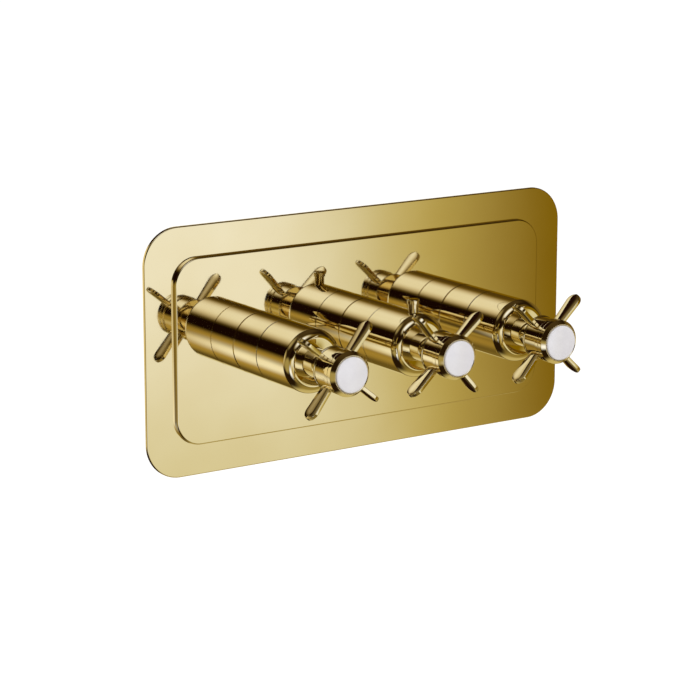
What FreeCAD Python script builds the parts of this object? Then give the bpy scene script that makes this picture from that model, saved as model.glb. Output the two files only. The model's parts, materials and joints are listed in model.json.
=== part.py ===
# Concealed shower valve: a cover plate, two flow controls and one temperature control.
# The finished wall is the plane y = 0, the front faces -Y, X is to the right and Z is up.
# A depth u is measured out of the wall, so a point at depth u has y = -u. Lengths are millimetres.
import FreeCAD, Part
import math
import os

V = FreeCAD.Vector

# Cover plate with its raised panel
plate_width = 300.0
plate_height = 149.0
plate_corner = 22.0
plate_sheet = 2.0
plate_edge = 1.2
panel_border = 18.8
panel_corner = 16.0
panel_rise = 3.0
panel_edge = 1.3
gasket_width = 8.0

# Controls on the plate, distances measured from the front of the panel
control_spacing = 74.2
barrel_radius = 19.0
barrel_wall = 1.6
barrel_length = 60.0
shroud_length = 25.5
seam_gap = 0.5
shoulder_radius = 5.2
sleeve_face = 2.0
face_dish = 0.8
sleeve_chamfer = 1.1
hub_standoff = 77.0
rest_turn = {"left": 6.0, "temp": -4.0, "right": 1.0}

# Crosshead handle
neck_radius = 8.4
spigot_radius = 5.0
spigot_length = 8.6
hub_radius = 12.5
hub_length = 14.5
spoke_offset = 6.5
hub_step = 0.6
rim_round = 0.5
hub_ring_length = 3.2
hub_ring_round = 0.4
hub_cavity = 9.0
hub_web = 9.0
spoke_count = 4
spoke_reach = 33.1
spoke_root_depth = 8.0
spoke_tip_depth = 10.4
spoke_thick = 3.2
spoke_round = 1.1
tenon_radius = 1.4
tenon_length = 3.0
bezel_radius = 13.2
bezel_length = 5.9
bezel_back_round = 0.6
bezel_band = 2.4
bezel_lip = 0.35
bezel_spigot = 2.5
bezel_spigot_bore = 7.5
disc_radius = 10.3
disc_thick = 3.6
disc_crown = 1.0

# Handle stem, spindle and handle screw
spindle_radius = 4.0
spindle_reach = 54.0
stem_radius = 7.5
stem_back = 34.0
stem_seat_radius = 10.5
stem_seat_margin = 5.0
stem_flange_radius = 12.0
stem_flange_thick = 2.2
screw_radius = 2.0
screw_bite = 13.0
screw_head_radius = 6.0
screw_head_height = 2.8
clip_radius = 6.0
clip_thick = 1.2
clip_groove = 0.5

# Body bosses, cartridges and their nuts
boss_radius = 16.0
boss_reach = 14.0
pocket_radius = 12.0
thermo_pocket_radius = 13.0
nut_thread_radius = 14.2
nut_thread_length = 4.0
nut_flats = 28.0
nut_head = 5.0
nut_bore = 8.2
flange_thick = 2.0
snout_radius = 8.0
snout_reach = 22.0
collar_length = 6.0
shroud_seal_thick = 1.0
shroud_lip = 1.0
guide_length = 12.0
guide_wall = 1.5

# Flow valves
seat_depth = 34.0
seat_seal = 2.0
seat_port = 6.5
ceramic_radius = 10.5
ceramic_thick = 3.0
ceramic_gap = 0.05
moving_inset = 0.3
port_inner = 3.5
port_outer = 8.5
port_sweep = 80.0
foot_thick = 3.0
foot_length = 18.4
foot_width = 6.4
tang_radius = 1.3
tang_offset = 6.8
tang_floor = 1.0
tab_width = 3.0
tab_height = 0.7
skirt_bore = 10.6
window_width = 9.0
relief_radius = 13.4
oring_section = 0.8
spindle_oring_section = 1.0

# Thermostat
thermo_bore = 10.5
thermo_lip = 1.5
thermo_outlet = 5.2
thermo_ceiling = 2.0
spindle_collar_radius = 7.0
spindle_collar_thick = 3.0
drive_radius = 5.0
drive_length = 7.7
carriage_radius = 9.9
carriage_length = 11.0
carriage_floor = 3.0
carriage_top = -2.0
carriage_travel = 3.0
key_width = 3.0
key_height = 1.3
wax_rod_radius = 2.0
wax_rod_length = 6.0
wax_flange_radius = 6.0
wax_flange_thick = 2.0
wax_bulb_radius = 4.0
wax_bulb_length = 11.4
shuttle_length = 9.0
shuttle_bore = 8.0
shuttle_web = 2.5
shuttle_port = 1.0
shuttle_ports = 6
hot_port_depth = 27.5
cold_port_depth = 16.5
supply_bore = 4.0
return_coil_radius = 6.6
return_wire_radius = 0.6
return_turns = 4

# Temperature stop and its button
button_setback = 9.2
button_radius = 3.1
button_height = 8.0
button_cap_radius = 3.7
button_cap_thick = 2.8
button_cap_round = 0.8
button_flange_radius = 4.4
button_flange_thick = 1.2
button_travel = 2.5
button_seat_radius = 3.4
button_seat_depth = 0.7
button_coil_radius = 2.6
button_wire_radius = 0.3
button_turns = 2.5
stop_tube_wall = 1.2
stop_tube_bore = 13.3
stop_foot = 2.0
stop_collar = 3.0
stop_front_gap = 1.2
stop_sweep = 45.0
stop_bridge = 6.0

# Concealed body
gallery_depth = 50.0
gallery_radius = 13.0
gallery_bore = 8.0
gallery_overhang = 18.0
plug_length = 10.0
plug_flats = 19.0
plug_head = 5.0
inlet_spacing = 80.0
inlet_depth = 23.0
inlet_reach = 45.0
inlet_crown = 15.0
arm_radius = 12.0
outlet_depth = 26.0
outlet_reach = 45.0
socket_outer = 14.0
socket_radius = 9.32
socket_length = 14.0
water_bore = 7.0

# Inlet non-return valves
strainer_thick = 1.0
strainer_hole = 0.9
strainer_ring = 4.2
strainer_holes = 6
check_length = 16.0
check_bore = 5.0
check_end = 2.0
check_seat_bore = 3.2
poppet_radius = 4.3
poppet_thick = 1.6
poppet_nose_radius = 2.9
poppet_nose = 1.5
poppet_stem_radius = 1.25
poppet_stem_end = 1.5
poppet_guide_clear = 0.1
check_port = 0.9
check_port_ring = 3.3
check_ports = 6
check_coil_radius = 2.4
check_wire_radius = 0.3
check_turns = 5

# Springs
arcs_per_turn = 4
samples_per_turn = 24

# Mounting bracket
bracket_width = 232.0
bracket_height = 96.0
bracket_corner = 10.0
bracket_sheet = 2.0
wall_hole_radius = 2.75
wall_hole_width = 210.0
wall_hole_height = 76.0
post_radius = 6.0
post_screw_radius = 2.5
post_screw_length = 9.0
post_screw_head = 4.5
post_screw_head_height = 2.4
post_hole_spare = 2.0

# Clearances, and how far a cut runs past the surface it opens
fit_clear = 0.05
guide_clear = 0.08
loose_clear = 0.3
boss_clear = 0.5
past = 1.0

# Derived places
controls = {"left": -control_spacing, "temp": 0.0, "right": control_spacing}
inlets = {"hot": -inlet_spacing / 2, "cold": inlet_spacing / 2}
flow_sides = ("left", "right")
panel_width = plate_width - 2 * panel_border
panel_height = plate_height - 2 * panel_border
panel_front = plate_sheet + panel_rise
barrel_bore = barrel_radius - barrel_wall
seam = panel_front + shroud_length
sleeve_front = panel_front + barrel_length
sleeve_inner = sleeve_front - face_dish - sleeve_face
hub_back = panel_front + hub_standoff
spoke_plane = hub_back + spoke_offset
hub_front = hub_back + hub_length
disc_edge = hub_front + bezel_length
disc_seat = disc_edge - disc_thick
web_front = hub_back + hub_web
nut_back = boss_reach - nut_thread_length
flange_back = nut_back - flange_thick
nut_front = boss_reach + nut_head
clip_back = snout_reach + loose_clear
clip_front = clip_back + clip_thick
screw_tip = spindle_reach - screw_bite
seat = -seat_depth
fixed_back = seat + seat_seal
moving_back = fixed_back + ceramic_thick + ceramic_gap
moving_front = moving_back + ceramic_thick
tang_back = moving_back + tang_floor
foot_front = moving_front + foot_thick
skirt_top = foot_front + loose_clear
collar_back = thermo_ceiling - loose_clear - spindle_collar_thick
drive_back = collar_back - drive_length
carriage_back = carriage_top - carriage_length
wax_back = carriage_back - wax_rod_length
web_top = wax_back - wax_flange_thick
web_bottom = web_top - shuttle_web
shuttle_back = web_top - shuttle_web / 2 - shuttle_length / 2
button_depth = sleeve_front - button_setback
button_top = barrel_radius + button_height
stem_seat_back = button_depth - stem_seat_margin
flange_top = math.sqrt(barrel_bore ** 2 - button_flange_radius ** 2) - loose_clear
flange_bottom = flange_top - button_flange_thick
spring_seat = stem_seat_radius - button_seat_depth
gallery_half = control_spacing + gallery_overhang
inlet_floor = socket_length - inlet_reach
strainer_top = inlet_floor + strainer_thick
check_top = strainer_top + check_length
poppet_bottom = strainer_top + check_end + fit_clear
poppet_top = poppet_bottom + poppet_thick
hot_port = -hot_port_depth
cold_port = -cold_port_depth
flow_oring_depth = (skirt_top + flange_back) / 2
thermo_oring_depths = ((hot_port + cold_port) / 2, (thermo_ceiling + flange_back) / 2)
spindle_oring_depth = (flange_back + snout_reach) / 2
spindle_oring_ring = spindle_radius + fit_clear + spindle_oring_section


def revolved(outline, place):
    # Turns a closed outline about its own axis. A step holding two points is an arc: through, end.
    edges = []
    here = outline[0]
    for step in outline[1:] + outline[:1]:
        if isinstance(step[0], tuple):
            through, end = step
            edges.append(Part.Arc(place(*here), place(*through), place(*end)).toShape())
        else:
            end = step
            edges.append(Part.makeLine(place(*here), place(*end)))
        here = end
    face = Part.Face(Part.Wire(edges))
    axis = place(0, 1) - place(0, 0)
    return face.revolve(place(0, 0), axis, 360)


def turned(x, outline):
    return revolved(outline, lambda r, u: V(x + r, -u, 0))


def turned_upright(x, u, outline):
    return revolved(outline, lambda r, z: V(x + r, -u, z))


def quarter(center, start, end):
    # Step along the quarter circle round center, from start to end.
    r, u = center
    radius = abs(start[0] - r) + abs(start[1] - u)
    reach = radius * math.sqrt(0.5)
    side_r = math.copysign(1, start[0] - r + end[0] - r)
    side_u = math.copysign(1, start[1] - u + end[1] - u)
    return ((r + side_r * reach, u + side_u * reach), end)


def rod(x, radius, u0, u1, z=0.0):
    return Part.makeCylinder(radius, u1 - u0, V(x, -u0, z), V(0, -1, 0))


def tube(x, inner, outer, u0, u1):
    return rod(x, outer, u0, u1).cut(rod(x, inner, u0 - past, u1 + past))


def upright(x, u, radius, z0, z1):
    return Part.makeCylinder(radius, z1 - z0, V(x, -u, z0), V(0, 0, 1))


def crossbar(radius, x0, x1, u):
    return Part.makeCylinder(radius, x1 - x0, V(x0, -u, 0), V(1, 0, 0))


def block(x0, x1, u0, u1, z0, z1):
    return Part.makeBox(x1 - x0, u1 - u0, z1 - z0, V(x0, -u1, z0))


def torus(x, u, ring, section):
    return Part.makeTorus(ring, section, V(x, -u, 0), V(0, -1, 0))


def hexagon(base, axis, flats, length):
    side = axis.cross(V(0, 0, 1)).normalize()
    corner = side * (flats / math.sqrt(3))
    turn = FreeCAD.Rotation(axis, 60)
    points = [corner]
    for _ in range(5):
        points.append(turn.multVec(points[-1]))
    points = [base + point for point in points]
    outline = Part.makePolygon(points + points[:1])
    return Part.Face(outline).extrude(axis * length)


def spun(shape, x, angle):
    # Anticlockwise as seen from the front.
    return shape.rotated(V(x, 0, 0), V(0, -1, 0), angle)


def sector(x, inner, outer, u0, u1, start, sweep):
    corners = [V(x + inner, -u0, 0), V(x + outer, -u0, 0), V(x + outer, -u1, 0), V(x + inner, -u1, 0)]
    face = Part.Face(Part.makePolygon(corners + corners[:1]))
    return spun(face.revolve(V(x, 0, 0), V(0, -1, 0), sweep), x, start)


def plate_block(width, height, corner, u0, u1):
    slab = block(-width / 2, width / 2, u0, u1, -height / 2, height / 2)
    edges = [e for e in slab.Edges if e.BoundBox.YLength > (u1 - u0) / 2]
    return slab.makeFillet(corner, edges)


def front_edges(shape, u):
    flat = 1e-6
    return [e for e in shape.Edges if e.BoundBox.YLength < flat and abs(e.BoundBox.YMin + u) < flat]


def arc_from(start, tangent, end):
    chord = end - start
    along = chord * (tangent.dot(chord) / chord.dot(chord))
    side = (tangent - along).normalize()
    half_turn = math.acos(tangent.dot(chord) / chord.Length)
    middle = (start + end) * 0.5 + side * (chord.Length / 2 * math.tan(half_turn / 2))
    return Part.Arc(start, middle, end).toShape()


def biarc(start, start_dir, end, end_dir):
    # Two tangent arcs that leave along start_dir and arrive along end_dir.
    chord = end - start
    spread = 2 * (1 - start_dir.dot(end_dir))
    lean = chord.dot(start_dir + end_dir)
    reach = (math.sqrt(lean ** 2 + spread * chord.dot(chord)) - lean) / spread
    joint = (start + end + (start_dir - end_dir) * reach) * 0.5
    second = arc_from(end, end_dir * -1, joint)
    return [arc_from(start, start_dir, joint), second]


def coil(name, base, axis, coil_radius, wire_radius, turns, length):
    # Open helical spring that stands on base and is length tall over the wire.
    across = V(1, 0, 0)
    beside = axis.cross(across)
    rise = (length - 2 * wire_radius) / turns
    full = 2 * math.pi

    def centre(turn):
        spoke = across * math.cos(full * turn) + beside * math.sin(full * turn)
        return base + axis * (wire_radius + rise * turn) + spoke * coil_radius

    def heading(turn):
        sweep = beside * math.cos(full * turn) - across * math.sin(full * turn)
        return (sweep * (full * coil_radius) + axis * rise).normalize()

    steps = round(turns * arcs_per_turn)
    edges = []
    for step in range(steps):
        here = step / arcs_per_turn
        there = (step + 1) / arcs_per_turn
        edges += biarc(centre(here), heading(here), centre(there), heading(there))
    path = Part.Wire(Part.sortEdges(edges)[0])
    section = Part.Wire(Part.Circle(centre(0), heading(0), wire_radius).toShape())
    count = round(turns * samples_per_turn) + 1
    samples = [centre(number / samples_per_turn) for number in range(count)]
    beyond = samples_per_turn * 2 // 3
    gaps = [a.distanceToPoint(b) for i, a in enumerate(samples) for b in samples[i + beyond:]]
    print(name, "least gap between turns", round(min(gaps) - 2 * wire_radius, 2))
    return path.makePipeShell([section], True, False)


def cover_plate():
    rim = plate_block(plate_width, plate_height, plate_corner, 0, plate_sheet)
    rim = rim.makeFillet(plate_edge, front_edges(rim, plate_sheet))
    panel = plate_block(panel_width, panel_height, panel_corner, 0, panel_front)
    panel = panel.makeFillet(panel_edge, front_edges(panel, panel_front))
    hollow_width = panel_width - 2 * plate_sheet
    hollow_height = panel_height - 2 * plate_sheet
    hollow = plate_block(hollow_width, hollow_height, panel_corner - plate_sheet, -past, panel_rise)
    plate = rim.fuse(panel).cut(hollow)
    for x in controls.values():
        plate = plate.cut(rod(x, boss_radius + boss_clear, -past, panel_front + past))
    return plate.removeSplitter()


def plate_gasket():
    inset = plate_sheet + loose_clear
    width = panel_width - 2 * inset
    height = panel_height - 2 * inset
    corner = panel_corner - inset
    ring = plate_block(width, height, corner, 0, panel_rise)
    inner_width = width - 2 * gasket_width
    inner_height = height - 2 * gasket_width
    return ring.cut(plate_block(inner_width, inner_height, corner - gasket_width, -past, panel_rise + past))


def base_shroud(x):
    shroud = rod(x, barrel_radius, panel_front, seam)
    shroud = shroud.cut(rod(x, barrel_bore, panel_front + collar_length, seam + past))
    shroud = shroud.cut(rod(x, boss_radius + fit_clear, panel_front - past, seam))
    seal_front = panel_front + shroud_seal_thick
    return shroud.cut(rod(x, barrel_radius - shroud_lip, panel_front - past, seal_front))


def shroud_seal(x):
    outer = barrel_radius - shroud_lip
    return tube(x, boss_radius + boss_clear, outer, panel_front, panel_front + shroud_seal_thick)


def guide_ring(x):
    outer = barrel_bore - guide_clear
    return tube(x, outer - guide_wall, outer, seam - guide_length / 2, seam + guide_length / 2)


def control_sleeve(x):
    back = seam + seam_gap
    shoulder = sleeve_front - shoulder_radius
    flat = barrel_radius - shoulder_radius
    hole = neck_radius + fit_clear
    outline = [
        (barrel_bore, back),
        (barrel_radius, back),
        (barrel_radius, shoulder),
        quarter((flat, shoulder), (barrel_radius, shoulder), (flat, sleeve_front)),
        (hole, sleeve_front - face_dish),
        (hole, sleeve_inner),
        (barrel_bore - sleeve_chamfer, sleeve_inner),
        (barrel_bore, sleeve_inner - sleeve_chamfer),
    ]
    return turned(x, outline)


def temperature_sleeve(x):
    hole = upright(x, button_depth, button_radius + guide_clear, 0, barrel_radius + past)
    return control_sleeve(x).cut(hole)


def handle_stem(x):
    flange_rear = sleeve_inner - stem_flange_thick
    socket_end = spindle_reach + loose_clear
    spigot_front = hub_back + spigot_length
    outline = [
        (spindle_radius, stem_back),
        (stem_radius, stem_back),
        (stem_radius, stem_seat_back),
        (stem_seat_radius, stem_seat_back),
        (stem_seat_radius, flange_rear),
        (stem_flange_radius, flange_rear),
        (stem_flange_radius, sleeve_inner),
        (neck_radius, sleeve_inner),
        (neck_radius, hub_back),
        (spigot_radius, hub_back),
        (spigot_radius, spigot_front),
        (screw_radius, spigot_front),
        (screw_radius, socket_end),
        (spindle_radius, socket_end),
    ]
    return turned(x, outline)


def temperature_stem(x):
    pocket = upright(x, button_depth, button_seat_radius, spring_seat, stem_seat_radius + past)
    return handle_stem(x).cut(pocket)


def crosshead_hub(x, turn):
    # A fine rim at the back and a broad ring at the front stand proud of the hub by one step.
    proud = hub_radius + hub_step
    rim_edge = proud - rim_round
    rim_front = hub_back + 2 * rim_round
    ring_back = hub_front - hub_ring_length
    ring_edge = proud - hub_ring_round
    ring_side = ring_back + hub_ring_round
    outline = [
        (spigot_radius, hub_back),
        (rim_edge, hub_back),
        ((proud, hub_back + rim_round), (rim_edge, rim_front)),
        (hub_radius, rim_front + rim_edge - hub_radius),
        (hub_radius, ring_back),
        (ring_edge, ring_back),
        quarter((ring_edge, ring_side), (ring_edge, ring_back), (proud, ring_side)),
        (proud, hub_front),
        (hub_cavity, hub_front),
        (hub_cavity, web_front),
        (spigot_radius, web_front),
    ]
    hub = turned(x, outline)
    for angle in spoke_angles(turn):
        hub = hub.cut(spun(tenon(x), x, angle))
    return hub


def spoke_angles(turn):
    step = 360 / spoke_count
    return [turn + step / 2 + step * number for number in range(spoke_count)]


def tenon(x):
    root = hub_radius - tenon_length
    return Part.makeCylinder(tenon_radius, tenon_length + past, V(x + root, -spoke_plane, 0), V(1, 0, 0))


def spoke(x):
    # One flat paddle along +X, deep along the handle's axis and thin across it.
    root = hub_radius - tenon_length
    half_root = spoke_root_depth / 2
    half_tip = spoke_tip_depth / 2
    tip = spoke_reach - half_tip

    def side(r, u):
        return V(x + r, -(spoke_plane + u), -spoke_thick / 2)

    outline = Part.Wire([
        Part.makeLine(side(root, -half_root), side(tip, -half_tip)),
        Part.Arc(side(tip, -half_tip), side(spoke_reach, 0), side(tip, half_tip)).toShape(),
        Part.makeLine(side(tip, half_tip), side(root, half_root)),
        Part.makeLine(side(root, half_root), side(root, -half_root)),
    ])
    paddle = Part.Face(outline).extrude(V(0, 0, spoke_thick))
    free_edges = [e for e in paddle.Edges if e.BoundBox.XMax > x + hub_radius]
    paddle = paddle.makeFillet(spoke_round, free_edges)
    paddle = paddle.cut(rod(x, hub_radius, hub_back, hub_front))
    return paddle.fuse(tenon(x)).removeSplitter()


def spokes(x, turn):
    paddle = spoke(x)
    return Part.makeCompound([spun(paddle, x, angle) for angle in spoke_angles(turn)])


def index_bezel(x):
    # A straight band, then one arc that narrows to a thin lip round the disc.
    back_edge = bezel_radius - bezel_back_round
    back_end = hub_front + bezel_back_round
    shoulder = back_end + bezel_band
    lip = disc_radius + bezel_lip
    narrowing = bezel_radius - lip
    rise = disc_edge - shoulder
    bow = (narrowing ** 2 + rise ** 2) / (2 * narrowing)
    half = math.asin(rise / bow) / 2
    through = (bezel_radius - bow + bow * math.cos(half), shoulder + bow * math.sin(half))
    outline = [
        (bezel_spigot_bore, hub_front - bezel_spigot),
        (hub_cavity, hub_front - bezel_spigot),
        (hub_cavity, hub_front),
        (back_edge, hub_front),
        quarter((back_edge, back_end), (back_edge, hub_front), (bezel_radius, back_end)),
        (bezel_radius, shoulder),
        (through, (lip, disc_edge)),
        (disc_radius, disc_edge),
        (disc_radius, disc_seat),
        (bezel_spigot_bore, disc_seat),
    ]
    return turned(x, outline)


def porcelain_disc(x):
    sphere = (disc_radius ** 2 + disc_crown ** 2) / (2 * disc_crown)
    middle = disc_radius / 2
    rise = math.sqrt(sphere ** 2 - middle ** 2) - sphere + disc_crown
    outline = [
        (0, disc_seat),
        (disc_radius, disc_seat),
        (disc_radius, disc_edge),
        ((middle, disc_edge + rise), (0, disc_edge + disc_crown)),
    ]
    return turned(x, outline)


def handle_screw(x):
    head_front = web_front + screw_head_height
    screw = rod(x, screw_head_radius, web_front, head_front)
    screw = screw.fuse(rod(x, screw_radius, screw_tip, web_front))
    slot = screw_radius / 2
    groove = block(x - screw_head_radius, x + screw_head_radius, head_front - slot, head_front + past,
                   -slot / 2, slot / 2)
    return screw.cut(groove)


def spindle_shaft(x, u0):
    shaft = rod(x, spindle_radius, u0, spindle_reach)
    shaft = shaft.cut(rod(x, screw_radius, screw_tip - loose_clear, spindle_reach + past))
    groove = tube(x, spindle_radius - clip_groove, spindle_radius + past, clip_back, clip_front)
    return shaft.cut(groove)


def spindle_clip(x):
    clip = tube(x, spindle_radius - clip_groove, clip_radius, clip_back, clip_front)
    mouth = spindle_radius / 2
    opening = block(x - mouth, x + mouth, clip_back - past, clip_front + past, -clip_radius - past, 0)
    return clip.cut(opening)


def flow_spindle(x):
    half_length = foot_length / 2
    half_width = foot_width / 2
    foot = block(x - half_width, x + half_width, moving_front, foot_front, -half_length, half_length)
    spindle = spindle_shaft(x, foot_front).fuse(foot)
    for side in (-1, 1):
        spindle = spindle.fuse(rod(x, tang_radius, tang_back, moving_front, side * tang_offset))
    return spindle


def moving_ceramic(x):
    disc = rod(x, ceramic_radius - moving_inset, moving_back, moving_front)
    for start in (0, 180):
        disc = disc.cut(sector(x, port_inner, port_outer, moving_back - past, moving_front + past,
                               start - port_sweep / 2, port_sweep))
    for side in (-1, 1):
        disc = disc.cut(rod(x, tang_radius, tang_back, moving_front + past, side * tang_offset))
    return disc


def ceramic_tabs(x, reach, width, u0, u1):
    return block(x - reach, x + reach, u0, u1, -width / 2, width / 2)


def fixed_ceramic(x):
    front = fixed_back + ceramic_thick
    disc = rod(x, ceramic_radius, fixed_back, front)
    disc = disc.fuse(ceramic_tabs(x, ceramic_radius + tab_height, tab_width, fixed_back, front))
    for start in (90, 270):
        disc = disc.cut(sector(x, port_inner, port_outer, fixed_back - past, front + past,
                               start - port_sweep / 2, port_sweep))
    return disc


def flow_seal(x):
    return tube(x, seat_port, ceramic_radius, seat, fixed_back)


def cartridge_head(x, radius, u0):
    # Outside of a cartridge: plug in the pocket, clamped flange and snout, bored for the spindle.
    head = rod(x, radius, u0, flange_back)
    head = head.fuse(rod(x, nut_thread_radius - fit_clear, flange_back, nut_back))
    head = head.fuse(rod(x, snout_radius, nut_back, snout_reach))
    head = head.cut(rod(x, spindle_radius + fit_clear, u0 - past, snout_reach + past))
    groove_back = spindle_oring_depth - spindle_oring_section
    groove_front = spindle_oring_depth + spindle_oring_section
    return head.cut(rod(x, spindle_oring_ring + spindle_oring_section, groove_back, groove_front))


def spindle_oring(x):
    return torus(x, spindle_oring_depth, spindle_oring_ring, spindle_oring_section)


def oring_groove(x, radius, u):
    return tube(x, radius - 2 * oring_section, radius + past, u - oring_section, u + oring_section)


def oring(x, radius, u):
    return torus(x, u, radius - oring_section, oring_section)


def flow_cartridge(x):
    radius = pocket_radius - fit_clear
    cartridge = cartridge_head(x, radius, fixed_back)
    cartridge = cartridge.cut(rod(x, skirt_bore, fixed_back - past, skirt_top))
    front = fixed_back + ceramic_thick
    tabs = ceramic_tabs(x, radius + past, tab_width + fit_clear, fixed_back - past, front)
    cartridge = cartridge.cut(tabs)
    half = window_width / 2
    across = radius + past
    cartridge = cartridge.cut(block(x - half, x + half, moving_back, foot_front, -across, across))
    return cartridge.cut(oring_groove(x, radius, flow_oring_depth))


def gland_nut(x):
    nut = rod(x, nut_thread_radius, nut_back, boss_reach)
    nut = nut.fuse(hexagon(V(x, -boss_reach, 0), V(0, -1, 0), nut_flats, nut_head))
    return nut.cut(rod(x, nut_bore, nut_back - past, nut_front + past))


def thermostat_housing(x):
    radius = thermo_pocket_radius - fit_clear
    housing = cartridge_head(x, radius, seat)
    housing = housing.cut(rod(x, thermo_outlet, seat - past, seat + thermo_lip + past))
    housing = housing.cut(rod(x, thermo_bore, seat + thermo_lip, thermo_ceiling))
    hot = crossbar(supply_bore, x - radius - past, x, hot_port)
    cold = crossbar(supply_bore, x, x + radius + past, cold_port)
    housing = housing.cut(hot).cut(cold)
    slot = key_width / 2 + loose_clear
    depth = carriage_radius + key_height + loose_clear
    bottom = carriage_back - carriage_travel - loose_clear
    housing = housing.cut(block(x - slot, x + slot, bottom, thermo_ceiling, -depth, depth))
    for u in thermo_oring_depths:
        housing = housing.cut(oring_groove(x, radius, u))
    return housing


def temperature_spindle(x):
    spindle = spindle_shaft(x, collar_back)
    spindle = spindle.fuse(rod(x, spindle_collar_radius, collar_back, collar_back + spindle_collar_thick))
    return spindle.fuse(rod(x, drive_radius, drive_back, collar_back))


def thermostat_carriage(x):
    carriage = rod(x, carriage_radius, carriage_back, carriage_top)
    half = key_width / 2
    reach = carriage_radius + key_height
    carriage = carriage.fuse(block(x - half, x + half, carriage_back, carriage_top, -reach, reach))
    floor = carriage_back + carriage_floor
    return carriage.cut(rod(x, drive_radius + guide_clear, floor, carriage_top + past))


def wax_element(x):
    element = rod(x, wax_rod_radius, wax_back, carriage_back)
    element = element.fuse(rod(x, wax_flange_radius, web_top, wax_back))
    return element.fuse(rod(x, wax_bulb_radius, web_top - wax_bulb_length, web_top))


def shuttle(x):
    front = shuttle_back + shuttle_length
    piston = rod(x, thermo_bore - guide_clear, shuttle_back, front)
    piston = piston.cut(rod(x, shuttle_bore, shuttle_back - past, web_bottom))
    piston = piston.cut(rod(x, shuttle_bore, web_top, front + past))
    piston = piston.cut(rod(x, wax_bulb_radius, web_bottom - past, web_top + past))
    ring = (shuttle_bore + wax_bulb_radius) / 2
    for number in range(shuttle_ports):
        hole = rod(x + ring, shuttle_port, web_bottom - past, web_top + past)
        piston = piston.cut(spun(hole, x, number * 360 / shuttle_ports))
    return piston


def return_spring(x):
    base = seat + thermo_lip
    length = web_bottom - base - fit_clear
    return coil("return_spring", V(x, -base, 0), V(0, -1, 0), return_coil_radius, return_wire_radius,
                return_turns, length)


def temperature_stop(x):
    # Fixed tube on the nut, with a T-slot ahead of the button: the button's flange meets its rails.
    outer = stop_tube_bore + stop_tube_wall
    rail_outer = barrel_bore - loose_clear
    rail_inner = math.hypot(flange_top - button_travel, button_flange_radius) + loose_clear
    tube_front = stem_seat_back - loose_clear
    rail_front = sleeve_inner - stop_front_gap
    slot = button_radius + loose_clear
    chord = math.sqrt(button_flange_radius ** 2 - slot ** 2) + loose_clear
    start = 90 + math.degrees(math.atan2(chord, flange_bottom))
    stop = tube(x, stop_tube_bore, outer, nut_front, tube_front)
    stop = stop.fuse(tube(x, snout_radius + fit_clear, outer, nut_front, nut_front + stop_foot))
    collar_rear = tube_front - stop_collar
    stop = stop.fuse(tube(x, stop_tube_bore, rail_outer, collar_rear, tube_front))
    stop = stop.fuse(sector(x, rail_inner, rail_outer, collar_rear, rail_front, start, stop_sweep))
    passage = sector(x, rail_inner - past, rail_outer + past, button_depth - slot, button_depth + slot,
                     start - stop_bridge, stop_sweep)
    return stop.cut(passage)


def stop_button(x):
    cap_bottom = button_top - button_cap_thick
    cap_edge = button_cap_radius - button_cap_round
    cap_side = button_top - button_cap_round
    outline = [
        (0, flange_bottom),
        (button_flange_radius, flange_bottom),
        (button_flange_radius, flange_top),
        (button_radius, flange_top),
        (button_radius, cap_bottom),
        (button_cap_radius, cap_bottom),
        (button_cap_radius, cap_side),
        quarter((cap_edge, cap_side), (button_cap_radius, cap_side), (cap_edge, button_top)),
        (0, button_top),
    ]
    return turned_upright(x, button_depth, outline)


def button_spring(x):
    length = flange_bottom - spring_seat - fit_clear
    return coil("button_spring", V(x, -button_depth, spring_seat), V(0, 0, 1), button_coil_radius,
                button_wire_radius, button_turns, length)


def valve_body():
    gallery = -gallery_depth
    outlet = -outlet_depth
    inlet = -inlet_depth
    body = crossbar(gallery_radius, -gallery_half, gallery_half, gallery)
    body = body.fuse(crossbar(arm_radius, inlets["hot"], inlets["cold"], inlet))
    for x in controls.values():
        body = body.fuse(rod(x, boss_radius, gallery, boss_reach))
    for x in inlets.values():
        body = body.fuse(upright(x, inlet, socket_outer, -inlet_reach, inlet_crown))
        body = body.fuse(rod(x, post_radius, inlet, -bracket_sheet))
    for side in flow_sides:
        body = body.fuse(upright(controls[side], outlet, socket_outer, 0, outlet_reach))
    body = body.cut(crossbar(gallery_bore, -gallery_half - past, gallery_half + past, gallery))
    for side, x in controls.items():
        pocket = pocket_radius if side in flow_sides else thermo_pocket_radius
        body = body.cut(rod(x, pocket, seat, boss_reach + past))
        body = body.cut(rod(x, nut_thread_radius, flange_back, boss_reach + past))
        body = body.cut(rod(x, seat_port, gallery, seat + past))
    for side in flow_sides:
        x = controls[side]
        body = body.cut(rod(x, relief_radius, moving_back, foot_front))
        body = body.cut(upright(x, outlet, water_bore, 0, outlet_reach))
        socket_floor = outlet_reach - socket_length
        body = body.cut(upright(x, outlet, socket_radius, socket_floor, outlet_reach + past))
    for x in inlets.values():
        body = body.cut(upright(x, inlet, water_bore, inlet_floor - past, supply_bore))
        body = body.cut(upright(x, inlet, socket_radius, -inlet_reach - past, inlet_floor))
        hole_end = -bracket_sheet - post_screw_length - post_hole_spare
        body = body.cut(rod(x, post_screw_radius, hole_end, 0))
    body = body.cut(crossbar(supply_bore, inlets["hot"], 0, hot_port))
    return body.cut(crossbar(supply_bore, 0, inlets["cold"], cold_port))


def gallery_plug(side):
    end = side * gallery_half
    axis = V(side, 0, 0)
    base = V(end, gallery_depth, 0)
    plug = Part.makeCylinder(gallery_bore, plug_length, base - axis * plug_length, axis)
    return plug.fuse(hexagon(base, axis, plug_flats, plug_head))


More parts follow.
